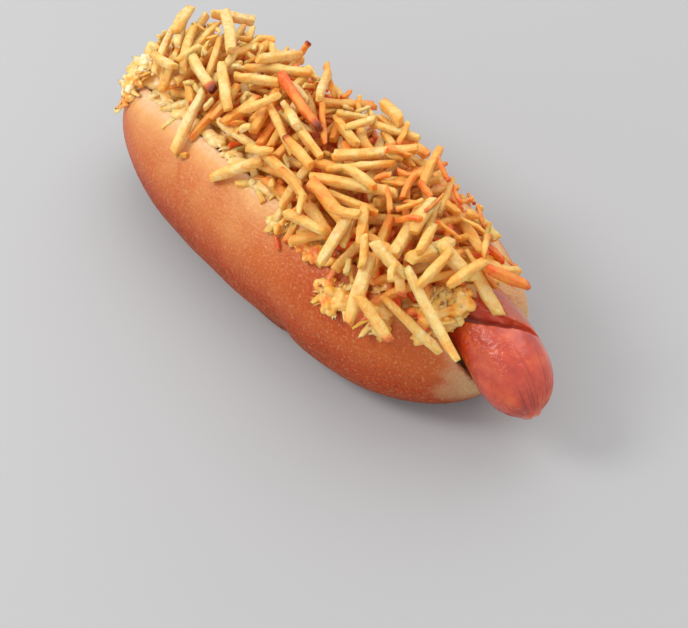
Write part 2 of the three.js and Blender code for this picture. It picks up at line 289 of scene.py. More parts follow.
# Sticks laid one by one: middle x and y, turn in degrees, length, thickness or 0 for a whole fry,
# how deeply fried it is (0 pale, 1 golden, 2 orange), and how burnt its back and front ends are,
# if at all. First the whole fries that can be told apart, then short ones that come out from under
# the heap onto the near lip, and ones that show between the others on top
TOLD_APART = [
    (-36, -17, 107, 22, 0, 0.0),
    (-45, -4, -14, 21, 0, 0.3, 0.0, 1.0),
    (-32, -4, -32, 19, 0, 0.4),
    (-53, 13, -31, 28, 0, 0.2),
    (-27, 5, 29, 16, 0, 0.4),
    (-31, 17, 91, 19, 0, 0.5),
    (-9, -19, 38, 20, 0, 0.2),
    (-9, 17, -44, 28, 0, 0.3),
    (1, 0, -16, 29, 0, 0.3),
    (-8, 7, -13, 26, 0, 1.7, 0.0, 0.9),
    (10, 10, -17, 16, 0, 0.6),
    (8, -7, -10, 16, 0, 0.8, 0.9, 0.0),
    (24, 9, 57, 25, 0, 0.3),
    (29, -4, 27, 27, 0, 0.3),
    (29, -13, -6, 18, 0, 1.0),
    (27, -17, -7, 16, 0, 0.5),
    (28, -21, 11, 14, 0, 0.4),
    (39, -19, 99, 17, 0, 0.0),
    (42, -12, 132, 13, 0, 0.7),
    (40, 16, 116, 16, 0, 0.9),
    (19, 21, 23, 16, 0, 0.3),
    (13, 25, -20, 16, 0, 0.5),
    (54, -24, 116, 20, 0, 0.1),
    (63, -27, -4, 15, 0, 0.4, 0.0, 0.5),
    (52, -4, 112, 20, 0, 0.0),
    (53, 1, 110, 13, 0, 0.2),
    (57, -15, 6, 13, 0, 0.2),
    (69, -19, 10, 22, 0, 0.3),
    (74, -16, -11, 28, 0, 0.0),
    (62, -5, 87, 15, 0, 0.2),
    (69, -2, 5, 13, 0, 0.2),
    (74, 4, -11, 17, 0, 0.1),
    (74, -3, 87, 13, 0, 0.6),
    (73, 11, 65, 12, 0, 0.8),
    (77.2, 9.6, 41, 13, 0, 1.6, 0.0, 0.4),
    (-67, 24, 67, 16, 0, 0.3),
    (-70, 7, 122, 14, 0, 0.4),
    (-59, -9, -2, 15, 0, 0.5),
]
LIP_STICKS = [
    (-63.5, -4.4, 0, 16, 3.2, 0.2),
    (-50.6, -7.9, 14, 14, 3.4, 0.8),
    (-50.3, -13.5, 42, 11, 3.2, 0.3),
    (-46.1, -17.6, 78, 8, 2.2, 0.3),
    (-57.0, -7.3, 32, 15, 2.0, 1.8),
    (-38.1, -8.5, 7, 9, 3.0, 1.2),
    (-30.4, -8.3, 29, 12, 3.4, 0.9),
    (-25.8, -11.1, 41, 7, 3.4, 1.0),
    (-20.0, -11.9, 73, 8, 3.2, 0.6),
    (-3.4, -15.8, 52, 13, 2.8, 0.4),
    (1.7, -18.4, -25, 6, 2.8, 0.3),
    (9.3, -15.6, -15, 10, 3.6, 0.5),
    (12.9, -21.3, 92, 9, 3.2, 0.2),
    (-13.2, -6.8, 39, 9, 3.2, 0.6),
    (-12.3, -12.8, 31, 12, 2.8, 0.2),
    (26.5, -17.6, 16, 11, 3.2, 0.4),
    (18.2, -19.0, 112, 10, 3.0, 0.8),
]
TOP_STICKS = [
    (-52.3, -3.0, 94, 9, 2.4, 0.4),
    (-14.3, -2.9, 41, 13, 3.0, 0.4),
    (-2.2, -0.5, -20, 8, 3.3, 0.0),
    (7.1, -12.9, -3, 20, 3.2, 0.5),
    (16.8, -16.3, -3, 13, 3.4, 0.8),
    (24.2, -19.0, -59, 6, 3.0, 0.4),
    (25.8, 1.8, 50, 19, 2.6, 0.5),
    (30.3, -2.4, 2, 12, 3.2, 0.3),
    (5.2, 16.1, 67, 11, 3.0, 0.3),
    (11.5, 14.1, 77, 10, 2.6, 0.2),
    (60.9, -17.4, -60, 5, 3.0, 0.2),
    (68.0, -9.0, -87, 13, 3.0, 0.5),
    (49.5, -18.3, -48, 9, 3.8, 0.4),
    (59.7, -4.2, -60, 14, 3.4, 0.3),
    (37.9, -13.9, 20, 9, 3.4, 0.6),
    (69.4, 8.6, -50, 16, 2.2, 0.6),
    (-2.5, -13.2, 29, 9, 3.2, 0.6),
    (-12.5, -10.6, 36, 4, 3.2, 0.0),
]


def laid_by_hand(field, rows, random, bite=BITE, steepest=STEEPEST):
    """Sticks from a table, laid one after another."""
    laid = []
    for x, y, turn, length, thick, fried, *burnt in rows:
        stick = dict(x=x, y=y, yaw=math.radians(turn), length=length)
        stick.update(thick=thick or between(random, *FRY_THICKNESS), bend=1.2 * (random() - 0.5))
        look = {"fried": fried, "burnt": burnt or (0, 0), "whole": not thick}
        laid.append({**lay(field, stick, bite, steepest), **look})
    return laid


def thin_orange_shreds(field, random, count):
    """Small, thin, deeply fried shreds that lie over the sticks at the far side near the front."""
    laid = []
    for _ in range(count):
        stick = dict(x=between(random, 20, 70), y=between(random, -4, 22))
        stick.update(yaw=math.pi * random(), length=between(random, 4, 9))
        stick.update(thick=between(random, 1.4, 2.6), bend=random() - 0.5)
        look = {"fried": between(random, 0.8, 1.9), "burnt": (0, 0)}
        laid.append({**lay(field, stick, bite=1.0), **look})
    return laid


def filling_up_sticks(field, random, count, ceiling, lengths, thicks, steepest=0.8, bite=1.6):
    """Short sticks laid one by one where there is most room under a ceiling over the heap."""
    laid = []
    for _ in range(count):
        best, most_room = None, 0.0
        for _ in range(FILLING_TRIES):
            x = between(random, -77, 70)
            length = between(random, *lengths)
            stick = dict(x=x, y=between(random, 3 - float(HEAP.near(x)), 25))
            stick.update(yaw=math.pi * random(), length=length, thick=between(random, *thicks))
            stick.update(bend=0.08 * length * (random() - 0.5))
            line = rest_line(field, stick, steepest)
            room = ceiling + float(HEAP.top(x, stick["y"])) - line["middle"] - stick["thick"] / 2
            if line["middle"] > FILLING_LOWEST and room > most_room:
                best, most_room = stick, room
        if best:
            laid.append(lay(field, best, bite=bite, steepest=steepest))
    return laid


# Modelling ----------------
def alone(*objects):
    """Only these objects are selected, or none, and the first is the active one."""
    bpy.ops.object.select_all(action="DESELECT")
    for o in objects:
        o.select_set(True)
    if objects:
        bpy.context.view_layer.objects.active = objects[0]


def applied(obj, kind, **settings):
    """Puts a modifier of that kind on the piece and applies it."""
    alone(obj)
    made = obj.modifiers.new(kind.lower(), kind)
    for name, value in settings.items():
        setattr(made, name, value)
    bpy.ops.object.modifier_apply(modifier=made.name)


def vectors_of(parts, what):
    """A vector of every vertex or face of a mesh, one row for each."""
    flat = np.empty(len(parts) * 3, np.float32)
    parts.foreach_get(what, flat)
    return flat.reshape(-1, 3).astype(float)


def points_of(obj):
    return vectors_of(obj.data.vertices, "co")


def normals_of(obj):
    return vectors_of(obj.data.vertices, "normal")


def set_points(obj, points):
    obj.data.vertices.foreach_set("co", np.ascontiguousarray(points, dtype=np.float32).ravel())
    obj.data.update()


def set_marks(obj, **marks):
    """Stores a number for each point, which the piece's material reads by its name."""
    for name, values in marks.items():
        layer = obj.data.attributes.get(name) or obj.data.attributes.new(name, "FLOAT", "POINT")
        layer.data.foreach_set("value", np.ascontiguousarray(values, dtype=np.float32))


def edit_chosen(obj, chosen, mode="FACE"):
    """Opens the piece in edit mode with only the faces, edges or vertices that chosen gives."""
    alone(obj)
    bpy.ops.object.mode_set(mode="EDIT")
    bpy.ops.mesh.select_mode(type=mode)
    bpy.ops.mesh.select_all(action="DESELECT")
    bpy.ops.object.mode_set(mode="OBJECT")
    parts = {"FACE": obj.data.polygons, "EDGE": obj.data.edges, "VERT": obj.data.vertices}[mode]
    parts.foreach_set("select", np.asarray(chosen, bool))
    bpy.ops.object.mode_set(mode="EDIT")


def long_edges(obj, axis):
    """Which edges of a template 1 mm long run along it."""
    ends = np.array([[obj.data.vertices[i].co[axis] for i in e.vertices] for e in obj.data.edges])
    return np.abs(ends[:, 0] - ends[:, 1]) > 0.5


def copy_of_node(node, name):
    """The CAD node's shape as a piece in mm in the maker's frame, with its points merged."""
    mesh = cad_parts[node].data.copy()
    mesh.materials.clear()
    made = bpy.data.objects.new(name, mesh)
    bpy.context.scene.collection.objects.link(made)
    mesh.transform(Matrix.Translation(-SHIFT) @ Matrix.Scale(1 / MM, 4))
    alone(made)
    bpy.ops.object.mode_set(mode="EDIT")
    bpy.ops.mesh.select_all(action="SELECT")
    bpy.ops.mesh.remove_doubles(threshold=MERGED_WITHIN)
    bpy.ops.object.mode_set(mode="OBJECT")
    return made


def settled(obj, name, nodes, material, faceted=False):
    """Finishes a piece: into metres in the row frame, on its body, with its material."""
    obj.name = obj.data.name = name
    obj.data.transform(Matrix.Scale(MM, 4) @ Matrix.Translation(SHIFT))
    obj.data.update()
    obj.data.materials.clear()
    obj.data.materials.append(material)
    alone(obj)
    if not faceted:
        bpy.ops.object.shade_smooth()
    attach(obj, "root")
    if nodes:
        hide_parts(*nodes)
    return obj


# Materials ----------------
COLORS = {"data_type": "RGBA", "clamp_factor": True}


def linear(color):
    """An sRGB hex value as the linear colour that a shader takes."""
    parts = [int(color[i : i + 2], 16) / 255 for i in (1, 3, 5)]
    return (*[p / 12.92 if p <= 0.04045 else ((p + 0.055) / 1.055) ** 2.4 for p in parts], 1.0)


def per(size):
    """The scale of a pattern whose grains are that many mm wide."""
    return 1 / (size * MM)


def feed(node, inputs):
    """Gives a node its inputs: a socket is linked, a hex colour or a value is set."""
    for name, value in inputs.items():
        if isinstance(value, bpy.types.NodeSocket):
            node.id_data.links.new(value, node.inputs[name])
        else:
            node.inputs[name].default_value = linear(value) if isinstance(value, str) else value


def add(tree, kind, inputs=None, out=0, stops=(), **settings):
    """Adds a node with its settings and links, and gives one of its outputs."""
    made = tree.nodes.new("ShaderNode" + kind)
    for name, value in settings.items():
        setattr(made, name, value)
    feed(made, inputs or {})
    if stops:
        ramp = made.color_ramp.elements
        while len(ramp) < len(stops):
            ramp.new(0.5)
        for element, (place, color) in zip(ramp, stops):
            element.position = place
            element.color = linear(color)
    return made.outputs[out]


def new_material(name):
    """A new material, its shader, and the function that adds a node to it."""
    made = bpy.data.materials.new(name)
    made.use_nodes = True
    return made, made.node_tree.nodes["Principled BSDF"], partial(add, made.node_tree)


def baked_crust():
    """Soft bread crust with egg wash: peach at the lips, orange-tan on the sides and deeper low
    down, where part of the darkening is painted shade, and cream where the roll was torn from its
    neighbour.
    Its dry skin has pale grains, hairline wrinkles and fine pimples, and a soft sheen that fades
    towards the low sides."""
    material, shader, node = new_material("egg_washed_bread_crust")
    place = node("TexCoord", out="Object")
    bake = node("Attribute", out="Fac", attribute_name="bake")
    crumb = node("Attribute", out="Fac", attribute_name="crumb")
    # blotches about 12 mm wide, where the heat reached the crust unevenly
    blotch = node("TexNoise", {"Vector": place, "Scale": per(12), "Detail": 4, "Roughness": 0.55})
    uneven = node("Math", {0: blotch, 1: 0.22, 2: bake}, operation="MULTIPLY_ADD")
    tones = [(0.06, "#f4dcb2"), (0.28, "#e8ac68"), (0.5, "#c9662c"), (0.74, "#b23e14")]
    crust = node("ValToRGB", {"Fac": uneven}, stops=[*tones, (1.0, "#7c290a")])
    # fine mottling about 2 mm wide
    mottle = node("TexNoise", {"Vector": place, "Scale": per(2.2), "Detail": 3})
    mottle = node("MapRange", {"Value": mottle, 1: 0.3, 2: 0.7, 3: 0.0, 4: 0.22})
    crust = node("Mix", {0: mottle, 6: crust, 7: "#cc7236"}, 2, **COLORS)
    # pale grains of the dry skin, about 0.8 mm wide
    grain = node("TexNoise", {"Vector": place, "Scale": per(0.8), "Detail": 2})
    grain = node("MapRange", {"Value": grain, 1: 0.54, 2: 0.74, 3: 0.0, 4: 0.4})
    crust = node("Mix", {0: grain, 6: crust, 7: "#e6a878"}, 2, **COLORS)
    # pale hairline wrinkles in the dry skin, about 12 mm apart, bent and broken up
    bent = node("TexNoise", {"Vector": place, "Scale": per(9), "Detail": 2}, "Color")
    bent = node("Mix", {0: 0.02, 4: place, 5: bent}, 1, data_type="VECTOR")
    hair = node(
        "TexVoronoi", {"Vector": bent, "Scale": per(12)}, "Distance", feature="DISTANCE_TO_EDGE"
    )
    hair = node("MapRange", {"Value": hair, 1: 0.0, 2: 0.009, 3: 1.0, 4: 0.0})
    patch = node("TexNoise", {"Vector": place, "Scale": per(20), "Detail": 1})
    patch = node("MapRange", {"Value": patch, 1: 0.54, 2: 0.7})
    hair = node("Math", {0: hair, 1: patch}, operation="MULTIPLY")
    faint = node("Math", {0: hair, 1: 0.4}, operation="MULTIPLY")
    crust = node("Mix", {0: faint, 6: crust, 7: "#efc294"}, 2, **COLORS)
    color = node("Mix", {0: crumb, 6: crust, 7: "#d8b282"}, 2, **COLORS)
    # fine pimples of the blistered skin, about 1 mm apart, which catch the light one by one
    pimple = node("TexVoronoi", {"Vector": place, "Scale": per(1.1)}, feature="SMOOTH_F1")
    fine = node("TexNoise", {"Vector": place, "Scale": per(0.9), "Detail": 2})
    height = node("Math", {0: hair, 1: -0.3, 2: fine}, operation="MULTIPLY_ADD")
    height = node("Math", {0: pimple, 1: -0.8, 2: height}, operation="MULTIPLY_ADD")
    bump = node("Bump", {"Height": height, "Strength": 1.0, "Distance": 0.4 * MM})
    gloss = node("MapRange", {"Value": crumb, 3: 0.42, 4: 0.85})
    # the egg wash was brushed over the top and hardly reaches the low sides
    wash = node("MapRange", {"Value": bake, 1: 0.42, 2: 0.7, 3: 0.36, 4: 0.05})
    feed(shader, {"Base Color": color, "Roughness": gloss, "Normal": bump, "IOR": 1.45})
    feed(shader, {"Coat Weight": wash, "Coat Normal": bump, "Coat Roughness": 0.16})
    feed(shader, {"Subsurface Weight": 0.12, "Subsurface Radius": (1.0, 0.5, 0.25)})
    feed(shader, {"Subsurface Scale": 2 * MM, "Specular IOR Level": 0.06})
    return material


def sausage_skin():
    """Cooked smoked casing: shiny coral red with tiny pimples and painted shade in its folds, and
    the smooth pink-red meat where it was slit, with browned specks along the cut, and a painted
    dark line with a painted gleam beside it at the bottom of the slit."""
    material, shader, node = new_material("cooked_sausage_casing")
    place = node("TexCoord", out="Object")
    meat, fold, char, sleek, wet = (
        node("Attribute", out="Fac", attribute_name=name)
        for name in ("meat", "fold", "char", "sleek", "wet")
    )
    # clouds about 7 mm wide in the red of the casing
    cloud = node("TexNoise", {"Vector": place, "Scale": per(7), "Detail": 4, "Roughness": 0.6})
    tones = [(0.3, "#ac2606"), (0.5, "#c83d0c"), (0.7, "#de6129")]
    skin = node("ValToRGB", {"Fac": cloud}, stops=tones)
    # the cut meat is streaked along the sausage, 2 mm apart
    stretched = node("Mapping", {"Vector": place, "Scale": (0.25, 1.0, 1.0)})
    streak = node("TexNoise", {"Vector": stretched, "Scale": per(2), "Detail": 3})
    tones = [(0.3, "#d0503c"), (0.55, "#e87258"), (0.75, "#f49676")]
    cut = node("ValToRGB", {"Fac": streak}, stops=tones)
    color = node("Mix", {0: meat, 6: skin, 7: cut}, 2, **COLORS)
    # painted shade: darker in the folds of the tip and along the dark line at the bottom of the
    # slit
    color = node("Mix", {0: fold, 6: color, 7: "#8e1e10"}, 2, **COLORS)
    # browned specks about 1.6 mm wide
    speck = node("TexNoise", {"Vector": place, "Scale": per(1.6), "Detail": 3})
    speck = node("MapRange", {"Value": speck, 1: 0.4, 2: 0.52})
    browned = node("Math", {0: speck, 1: char}, operation="MULTIPLY")
    color = node("Mix", {0: browned, 6: color, 7: "#b8501a"}, 2, **COLORS)
    # a painted highlight: the pale gleam beside the dark line at the bottom of the slit
    color = node("Mix", {0: wet, 6: color, 7: "#d9a593"}, 2, **COLORS)
    # pimples of the casing, about 1 mm apart, and a finer roughness, both weak where it is sleek
    pimple = node("TexVoronoi", {"Vector": place, "Scale": per(1)}, feature="SMOOTH_F1")
    rough = node("TexNoise", {"Vector": place, "Scale": per(0.6), "Detail": 2})
    height = node("Math", {0: pimple, 1: -0.9, 2: rough}, operation="MULTIPLY_ADD")
    relief = node("MapRange", {"Value": sleek, 3: 1.0, 4: 0.1})
    height = node("Math", {0: height, 1: relief}, operation="MULTIPLY")
    bump = node("Bump", {"Height": height, "Strength": 1.0, "Distance": 0.18 * MM})
    feed(shader, {"Base Color": color, "Normal": bump, "Roughness": 0.34, "IOR": 1.42})
    feed(shader, {"Coat Normal": bump, "Coat Weight": 1.0, "Coat IOR": 1.6})
    feed(shader, {"Coat Roughness": 0.13, "Specular IOR Level": 0.3})
    feed(shader, {"Subsurface Weight": 0.15, "Subsurface Radius": (1.0, 0.25, 0.12)})
    feed(shader, {"Subsurface Scale": 2.5 * MM})
    return material


def fried_potato():
    """Deep-fried potato sticks: translucent pale yellow cut faces that turn golden and orange at
    edges and ends, some burnt brown at a tip, with tiny blisters and a film of oil."""
    material, shader, node = new_material("fried_potato")
    place = node("TexCoord", out="Object")
    fried, burnt, across, upward = (
        node("Attribute", out="Fac", attribute_name=name)
        for name in ("fried", "burnt", "across", "upward")
    )
    # clouds about 4 mm wide, and the edges of a stick fry more than the middles of its faces
    cloud = node("TexNoise", {"Vector": place, "Scale": per(4), "Detail": 4, "Roughness": 0.6})
    corner = node("Math", {0: across, 1: upward}, operation="MULTIPLY")
    corner = node("Math", {0: corner}, operation="ABSOLUTE")
    edge = node("MapRange", {"Value": corner, 1: 0.3, 2: 0.8, 3: 0.0, 4: 0.12})
    tone = node("Math", {0: cloud, 1: 0.5, 2: fried}, operation="MULTIPLY_ADD")
    tone = node("Math", {0: tone, 1: edge}, operation="ADD")
    tones = [(0.2, "#f1d696"), (0.42, "#f0c46c"), (0.62, "#f0a844"), (0.84, "#f58430")]
    color = node("ValToRGB", {"Fac": tone}, stops=[*tones, (1.0, "#ec5418")])
    # golden specks about 2 mm wide
    speck = node("TexNoise", {"Vector": place, "Scale": per(1.8), "Detail": 4})
    speck = node("MapRange", {"Value": speck, 1: 0.5, 2: 0.68, 4: 0.55})
    color = node("Mix", {0: speck, 6: color, 7: "#e89a40"}, 2, **COLORS)
    tones = [(0.0, "#f2a349"), (0.4, "#cf6a2c"), (0.75, "#9c421c"), (1.0, "#6a2410")]
    browned = node("ValToRGB", {"Fac": burnt}, stops=tones)
    share = node("MapRange", {"Value": burnt, 1: 0.05, 2: 0.35})
    color = node("Mix", {0: share, 6: color, 7: browned}, 2, **COLORS)
    # blisters about 1 mm wide
    blister = node("TexNoise", {"Vector": place, "Scale": per(1.1), "Detail": 4})
    bump = node("Bump", {"Height": blister, "Strength": 1.0, "Distance": 0.6 * MM})
    feed(shader, {"Base Color": color, "Normal": bump, "Roughness": 0.45, "IOR": 1.45})
    feed(shader, {"Coat Weight": 0.1, "Coat Roughness": 0.25})
    feed(shader, {"Subsurface Weight": 0.7, "Subsurface Radius": (1.0, 0.55, 0.25)})
    feed(shader, {"Subsurface Scale": 3.5 * MM})
    return material


def creamy_salad():
    """Grated filling bound with cream sauce: wet creamy yellow, with yolk-yellow lumps and coral
    shreds in it, and soft to the light."""
    material, shader, node = new_material("creamy_grated_filling")
    place = node("TexCoord", out="Object")
    kind = node("Attribute", out="Fac", attribute_name="kind")
    # clouds about 5 mm wide
    cloud = node("TexNoise", {"Vector": place, "Scale": per(5), "Detail": 4, "Roughness": 0.6})
    tone = node("Math", {0: cloud, 1: 0.24, 2: kind}, operation="MULTIPLY_ADD")
    tones = [(0.1, "#ffe6bc"), (0.3, "#fecf7c"), (0.5, "#fbb648"), (0.72, "#f28a38")]
    color = node("ValToRGB", {"Fac": tone}, stops=[*tones, (0.98, "#ca3c20")])
    # lumps of the sauce about 1.4 mm wide
    lump = node("TexNoise", {"Vector": place, "Scale": per(1.4), "Detail": 3})
    bump = node("Bump", {"Height": lump, "Strength": 0.6, "Distance": 0.4 * MM})
    feed(shader, {"Base Color": color, "Normal": bump, "Roughness": 0.32, "IOR": 1.42})
    feed(shader, {"Coat Weight": 0.25, "Coat Roughness": 0.2})
    feed(shader, {"Subsurface Weight": 0.5, "Subsurface Radius": (1.0, 0.65, 0.3)})
    feed(shader, {"Subsurface Scale": 3 * MM})
    return material


# The roll ----------------
def onto_skin(points, reach=0.8):
    """Moves points that lie within reach of the loaf's true skin onto it, so no facet is left."""
    for _ in range(2):
        level = ROLL.level(points)
        slope = np.stack(
            [(ROLL.level(points + d) - ROLL.level(points - d)) / 0.2 for d in np.eye(3) * 0.1],
            axis=1,
        )
        steepness = np.maximum(np.sum(slope**2, axis=1), 1e-9)
        away = (level - 1) / np.sqrt(steepness)
        share = 1 - step(np.abs(away), reach * 0.6, reach)
        points = points - (share * (level - 1) / steepness)[:, None] * slope
    return points


def bread_roll(material):
    roll = copy_of_node("roll", "bread_roll")
    applied(roll, "REMESH", mode="VOXEL", voxel_size=ROLL_VOXEL)
    set_points(roll, onto_skin(points_of(roll)))
    applied(roll, "SMOOTH", factor=0.5, iterations=9)
    points, normals = points_of(roll), normals_of(roll)
    x, y, z = points.T
    level = ROLL.level(points)
    skin = 1 - step(np.abs(level - 1), 0.03, 0.09)
    near_side = step(-y, 8, 20)
    # soft lumps of the dough, and a fine roughness on the torn walls
    push = 0.55 * lumps(points, 38, 1) + 0.28 * lumps(points, 15, 2)
    push = skin * push + (1 - skin) * 0.5 * lumps(points, 5, 3, 2)
    # a long fold low on the near side, deepest where the roll's outline is pinched
    fold_line = 8 + 3 * np.sin(x * 0.06) + 0.08 * (x - 10)
    fold = hump(z, fold_line, 2.2) * near_side * step(x, -45, -25) * (1 - step(x, 14, 34))
    push -= 0.9 * fold * (0.6 + 0.4 * lumps(points, 20, 4))
    push -= 1.1 * hump(x, 24, 2.4) * near_side * hump(z, 9, 9)
    # the short crease near the lip
    crease = hump((x + 31) * 0.8 + (y + 27) * 0.6, 0, 0.7) * hump(x, -30, 5) * near_side
    push -= 0.35 * crease * skin * step(z, 20, 30)
    # the far half's torn wall swells towards the sausage at the front, above its bed
    torn = step(-normals[:, 1], 0.2, 0.6)
    push += 2 * torn * hump(x, 73, 12) * hump(y, 21, 4) * step(z, 12, 22)
    inner = 1 - step(normals[:, 1], 0.05, 0.5)
    swell = 5.5 * inner * step(x, 58, 70) * hump(y, 19, 6) * step(z, 14, 26)
    points = points + push[:, None] * normals
    points[:, 1] -= swell
    points[:, 2] = np.maximum(points[:, 2], 0)
    set_points(roll, points)
    # how far it is baked, with painted shade added in: little on top by the lips, most low down
    # and at the back end
    near_lip = hump(np.minimum(y + SPLIT_NEAR, 0), 0, 7)
    far_lip = hump(np.maximum(y - SPLIT_FAR, 0), 0, 6)
    lip = np.where(y < 4, near_lip, far_lip)
    bake = 0.76 - 0.42 * step(z, 16, 38) - 0.34 * lip * step(z, 30, 42)
    # painted shade on top of the near side towards the front
    bake += 0.2 * step(x, 4, 36) * near_side * step(z, 28, 36)
    bake -= 0.08 * step(x, 36, 60) * near_side * (1 - step(z, 20, 30))
    # darker low down, partly a deeper bake and partly painted shade of the low sides, and darker
    # still at the low back end
    bake += 0.24 * step(-z, -16, -3) + 0.08 * step(-x, 50, 84) * (1 - step(z, 24, 36))
    wall = 1 - step(np.abs(level - 1), 0.05, 0.16)
    end = step(x + 3 * lumps(points, 9, 6, 2), 74, 84) * step(z, 8, 18)
    pale = step(x + 7 * lumps(points, 9, 7, 2), 58, 74) * step(y, 11, 17) * step(z, 8, 26)
    pale *= 1 - 0.45 * step(z, 24, 36) * (y > 12)
    crumb = np.clip(np.maximum(np.maximum(1 - wall, end), pale), 0, 1)
    set_marks(roll, bake=bake + 0.05 * crease, crumb=crumb)
    return settled(roll, "bread_roll", ["roll"], material)


# The sausage ----------------
def round_sausage(points):
    """Share along the sausage, angle round it, and distance from its centre line."""
    x = points[:, 0].copy()
    for _ in range(4):
        y, z = sausage_centre(x)
        y2, z2 = sausage_centre(x + 0.5)
        y1, z1 = sausage_centre(x - 0.5)
        tangent = np.stack([np.ones_like(x), y2 - y1, z2 - z1], axis=1)
        away = points - np.stack([x, y, z], axis=1)
        x = x + np.sum(away * tangent, axis=1) / np.sum(tangent**2, axis=1)
    y, z = sausage_centre(x)
    away = points - np.stack([x, y, z], axis=1)
    share = (x - SAUSAGE_BACK) / (SAUSAGE_TIP - SAUSAGE_BACK)
    return share, np.arctan2(away[:, 2], away[:, 1]), np.linalg.norm(away, axis=1), away


def sausage_link(material):
    link = copy_of_node("sausage", "sausage_link")
    applied(link, "REMESH", mode="VOXEL", voxel_size=SAUSAGE_VOXEL)
    points = points_of(link)
    share, _, distance, away = round_sausage(points)
    radius = np.maximum(sausage_radius(share), 0.05)
    on_skin = (1 - step(np.abs(distance - radius), 0.35, 0.6)) * (share < 0.985) * (share > 0.01)
    points = points + (on_skin * (radius / np.maximum(distance, 0.05) - 1))[:, None] * away
    set_points(link, points)
    applied(link, "SMOOTH", factor=0.5, iterations=5)
    # the tip gets a finer mesh, for its folds
    edit_chosen(link, vectors_of(link.data.polygons, "center")[:, 0] > FINE_TIP)
    bpy.ops.mesh.subdivide(number_cuts=1, smoothness=0)
    bpy.ops.mesh.select_all(action="SELECT")
    bpy.ops.mesh.vertices_smooth(factor=0.5, repeat=2)
    bpy.ops.object.mode_set(mode="OBJECT")
    points, normals = points_of(link), normals_of(link)
    x, y, z = points.T
    share, angle, distance, _ = round_sausage(points)
    radius = np.maximum(sausage_radius(share), 0.05)
    meat = step(radius - distance, 0.5, 1.1) * (share < 0.97)
    # fine folds that run to the crimp at the tip, each of its own length and depth
    random = seeded(5)
    fold = np.zeros(len(points))
    tip = (1 - share) * (SAUSAGE_TIP - SAUSAGE_BACK)
    for i in range(TIP_FOLDS):
        middle = -math.pi + 2 * math.pi * (i + 0.8 * random()) / TIP_FOLDS
        far_side = -0.4 < middle < 1.9
        reach = between(random, 8, 18) if far_side else between(random, 4, 11)
        depth = between(random, 0.3, 1.0)
        wander = between(random, -0.012, 0.012)
        apart = np.abs((angle - middle - wander * tip + math.pi) % (2 * math.pi) - math.pi)
        width = 0.24 + 0.008 * tip
        line = np.exp(-((apart * np.maximum(distance, 0.6) / width) ** 2))
        fold = np.maximum(fold, depth * line * (1 - step(tip, reach * 0.35, reach)))
    fold *= (1 - meat) * step(tip, 0.3, 1.6)
    push = -0.42 * fold + 0.12 * lumps(points, 6, 8) + 0.05 * lumps(points, 1.6, 9)
    # two small lobes of the crimp
    for side in (-0.9, 1.1):
        lobe = np.exp(-((tip / 1.6) ** 2)) * hump(y - sausage_centre(SAUSAGE_TIP)[0], side, 0.9)
        push += 0.7 * lobe
    # the lips of the slit swell a little
    rim = hump(radius - distance, 0.3, 0.5) * (meat < 0.6) * step(z, 26, 31) * step(x, 44, 50)
    push += 0.1 * rim * (share < 0.94)
    points = points + push[:, None] * normals
    set_points(link, points)
    far_rim = step(y, 3, 5) * step(z, 30, 34) * step(x, 60, 68) * (1 - step(x, 84, 90))
    char = np.clip(far_rim * hump(radius - distance, 0.6, 1.8) * 1.2, 0, 1)
    # the far side near the tip is drawn smooth, the rest keeps its pimples
    sleek = step(np.cos(angle - 0.6), 0.2, 0.7) * step(x, 74, 86)
    # painted shade and a painted highlight at the bottom of the slit: a dark line, and a pale
    # gleam beside it
    along = (x - SLIT_START) / (SLIT_END - SLIT_START)
    across = (y - SLIT_SHIFT - SLIT_TURN * along**4) / (SLIT_WIDTH * (0.5 - 0.175 * along**3))
    slit_bottom = meat * (across > 0) * step(x, 62, 68) * (1 - step(x, 82, 88))
    level = 0.2 + 0.014 * (x - 70)
    wet = slit_bottom * hump(across, level, 0.06)
    # the dark line goes into the fold mark as painted shade
    fold = np.maximum(fold, 1.7 * slit_bottom * (1 - step(across, level + 0.1, level + 0.2)))
    sleek, wet = np.clip(np.maximum(sleek, meat), 0, 1), np.clip(wet, 0, 1)
    set_marks(link, meat=meat, fold=np.clip(fold, 0, 1) * 0.55, char=char, sleek=sleek, wet=wet)
    return settled(link, "sausage_link", ["sausage"], material)


# The filling ----------------
def shred_template():
    """A grated shred, 1 mm long, wide and thick before it is scaled, with a flat oval section."""
    alone()
    bpy.ops.mesh.primitive_cylinder_add(vertices=6, radius=0.5, depth=1, end_fill_type="NGON")
    shred = bpy.context.object
    edit_chosen(shred, long_edges(shred, 2), "EDGE")
    bpy.ops.mesh.subdivide(number_cuts=4)
    bpy.ops.object.mode_set(mode="OBJECT")
    shred.data.transform(Matrix.Rotation(math.pi / 2, 4, "Y"))
    return shred


def copies(template, name, shapes, marks):
    """One piece of many copies of a template, each with its own points and marks."""
    count = len(template.data.vertices)
    loops = np.empty(len(template.data.loops), int)
    template.data.loops.foreach_get("vertex_index", loops)
    starts = np.empty(len(template.data.polygons), int)
    template.data.polygons.foreach_get("loop_start", starts)
    mesh = bpy.data.meshes.new(name)
    number = len(shapes)
    mesh.vertices.add(count * number)
    mesh.vertices.foreach_set("co", np.concatenate(shapes).astype(np.float32).ravel())
    mesh.loops.add(len(loops) * number)
    all_loops = loops[None, :] + count * np.arange(number)[:, None]
    mesh.loops.foreach_set("vertex_index", all_loops.ravel().astype(np.int32))
    mesh.polygons.add(len(starts) * number)
    all_starts = starts[None, :] + len(loops) * np.arange(number)[:, None]
    mesh.polygons.foreach_set("loop_start", all_starts.ravel().astype(np.int32))
    mesh.update(calc_edges=True)
    mesh.validate()
    made = bpy.data.objects.new(name, mesh)
    bpy.context.scene.collection.objects.link(made)
    set_marks(made, **{key: np.concatenate(values) for key, values in marks.items()})
    return made


